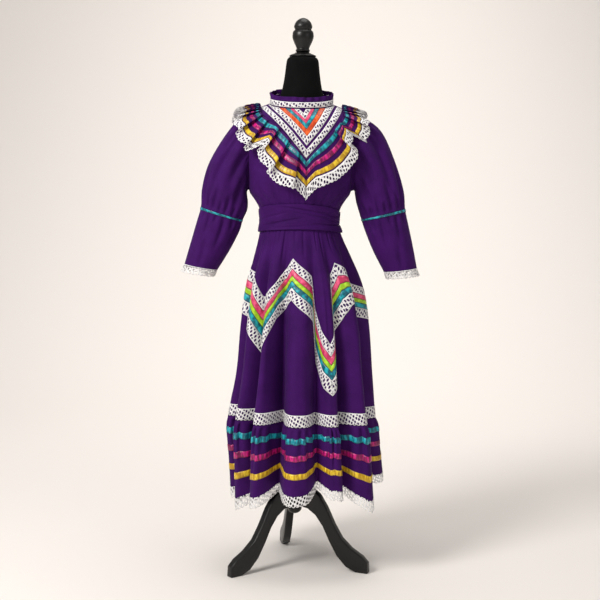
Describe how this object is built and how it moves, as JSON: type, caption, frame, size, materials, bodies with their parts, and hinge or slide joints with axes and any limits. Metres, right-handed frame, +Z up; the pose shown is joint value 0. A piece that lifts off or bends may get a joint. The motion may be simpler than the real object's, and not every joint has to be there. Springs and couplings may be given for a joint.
{
  "type": "folklorico dress on a limbless dress form",
  "caption": "Purple folklorico dress with lace, ribbon zigzags, ruffled yoke and tiered hem, on a black limbless dress form with a wooden tripod.",
  "frame": {"origin": "on the floor, on the stand's pole axis, under the middle of the dress form", "axes": "+Z up; the dress faces -Y; +X is on the right of someone who looks at its front"},
  "size_m": [0.7064, 0.478, 1.642],
  "materials": {
    "purple_cotton": "plain-woven cotton, matt with a faint sheen",
    "white_lace": "machine-made raschel lace, matt",
    "turquoise_satin": "satin ribbon",
    "magenta_satin": "satin ribbon",
    "yellow_satin": "satin ribbon",
    "orange_satin": "satin ribbon",
    "pink_satin": "satin ribbon",
    "lime_satin": "satin ribbon",
    "black_jersey": "stretched jersey cover, matt",
    "black_wood": "turned and sawn wood, black satin lacquer"
  },
  "bodies": {
    "root": {"bodice_front": "purple_cotton", "bodice_back": "purple_cotton", "ruffle": "purple_cotton", "sleeve_left_upper": "purple_cotton", "sleeve_left_lower": "purple_cotton", "sleeve_right_upper": "purple_cotton", "sleeve_right_lower": "purple_cotton", "collar_band": "purple_cotton", "collar_frill": "purple_cotton", "sash": "purple_cotton", "skirt_front": "purple_cotton", "skirt_back": "purple_cotton", "flounce_front": "purple_cotton", "flounce_back": "purple_cotton", "yoke_lace_top": "white_lace", "yoke_lace_inner": "white_lace", "yoke_lace_outer": "white_lace", "ruffle_lace": "white_lace", "cuff_lace_left": "white_lace", "cuff_lace_right": "white_lace", "collar_lace": "white_lace", "zigzag_lace_upper": "white_lace", "zigzag_lace_lower": "white_lace", "skirt_lace_band": "white_lace", "hem_lace": "white_lace", "yoke_ribbon_turquoise": "turquoise_satin", "ruffle_ribbon_turquoise": "turquoise_satin", "sleeve_left_ribbon": "turquoise_satin", "sleeve_right_ribbon": "turquoise_satin", "zigzag_ribbon_turquoise": "turquoise_satin", "flounce_ribbon_turquoise": "turquoise_satin", "ruffle_ribbon_magenta": "magenta_satin", "flounce_ribbon_magenta": "magenta_satin", "ruffle_ribbon_yellow": "yellow_satin", "flounce_ribbon_yellow": "yellow_satin", "yoke_ribbon_orange": "orange_satin", "yoke_ribbon_pink": "pink_satin", "zigzag_ribbon_pink": "pink_satin", "zigzag_ribbon_lime": "lime_satin", "form_torso": "black_jersey", "finial": "black_wood", "neck_cap": "black_wood", "pole": "black_wood", "hub": "black_wood", "leg_left": "black_wood", "leg_right": "black_wood", "leg_back": "black_wood"}
  },
  "joints": []
}
